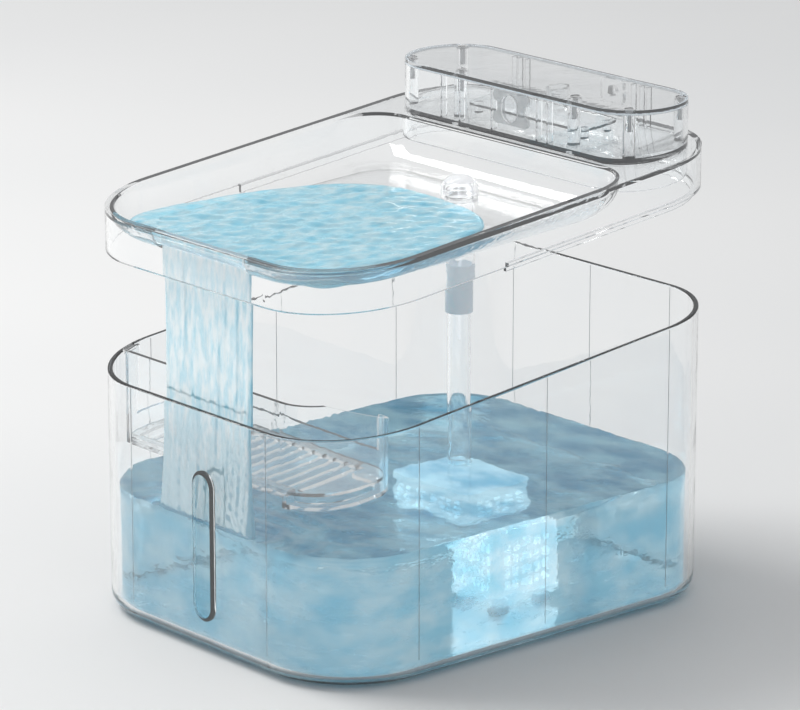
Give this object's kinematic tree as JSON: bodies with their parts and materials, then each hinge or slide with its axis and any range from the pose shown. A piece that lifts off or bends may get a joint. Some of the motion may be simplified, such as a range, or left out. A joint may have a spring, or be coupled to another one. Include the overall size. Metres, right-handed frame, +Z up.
{
  "type": "pet water fountain",
  "caption": "Clear pet water fountain: sloped round-cornered tank with pump, riser and hook-on filter tray, under a lift-up drinking tray with a dish, spill slot and rear pod.",
  "frame": {"origin": "centre of the tank's footprint, on the surface it stands on", "axes": "+Z up; -Y is the front, where the water falls and the level window is; the pod is at +Y; +X is the right-hand side seen from the front"},
  "size_m": [0.192, 0.24, 0.2348],
  "materials": {
    "clear_plastic": "water-clear, polished",
    "window_plastic": "clear with a darker edge",
    "pad_rubber": "soft, matt",
    "pump_plastic": "pale, translucent",
    "soft_silicone": "soft, translucent",
    "motor_resin": "pale cast resin",
    "shaft_steel": "ground",
    "ferrite": "sintered, matt",
    "impeller_plastic": "pale",
    "sponge": "open-cell foam",
    "cover_plastic": "pale blue-white, translucent",
    "tube_plastic": "water-clear, polished",
    "basket_plastic": "water-clear, polished",
    "tray_plastic": "water-clear, polished",
    "nozzle_plastic": "water-clear, polished",
    "pod_plastic": "water-clear, polished",
    "screw_nylon": "natural nylon",
    "lens_plastic": "water-clear, polished",
    "board_plastic": "clear"
  },
  "bodies": {
    "base": {"tank": "clear_plastic", "level_window": "window_plastic", "foot_pads": "pad_rubber", "pump_base": "pump_plastic", "suction_cups": "soft_silicone", "motor_block": "motor_resin", "volute": "pump_plastic", "impeller_shaft": "shaft_steel", "inlet_sponge": "sponge", "riser_tube": "tube_plastic"},
    "rotor": {"rotor_magnet": "ferrite", "impeller": "impeller_plastic"},
    "pump_cover": {"pump_cover": "cover_plastic"},
    "filter": {"filter_tray": "basket_plastic", "filter_grille": "basket_plastic"},
    "tray": {"drinking_tray": "tray_plastic", "dish_spigot": "tray_plastic", "riser_boot": "soft_silicone", "pod_housing": "pod_plastic", "pod_lid": "pod_plastic", "pod_gasket": "soft_silicone", "pod_screws": "screw_nylon", "sensor_lens": "lens_plastic", "sensor_bezel": "pod_plastic", "control_board": "board_plastic"},
    "nozzle": {"spout_nozzle": "nozzle_plastic", "nozzle_stem": "nozzle_plastic"}
  },
  "joints": [
    {"name": "tray_lift", "type": "slide", "parent": "base", "child": "tray", "axis": [0, 0, 1], "range_m": [-0.056, 0]},
    {"name": "filter_tray_lift", "type": "slide", "parent": "base", "child": "filter", "axis": [0, 0, 1], "range_m": [0, 0.04]},
    {"name": "pump_cover_lift", "type": "slide", "parent": "base", "child": "pump_cover", "axis": [0, 0, 1], "range_m": [0, 0.06]},
    {"name": "impeller_spin", "type": "hinge", "parent": "base", "child": "rotor", "pos_m": [0.02, 0.022, 0.021], "axis": [0, 0, 1], "continuous": true},
    {"name": "nozzle_lift", "type": "slide", "parent": "tray", "child": "nozzle", "axis": [0, 0, 1], "range_m": [0, 0.03]}
  ]
}
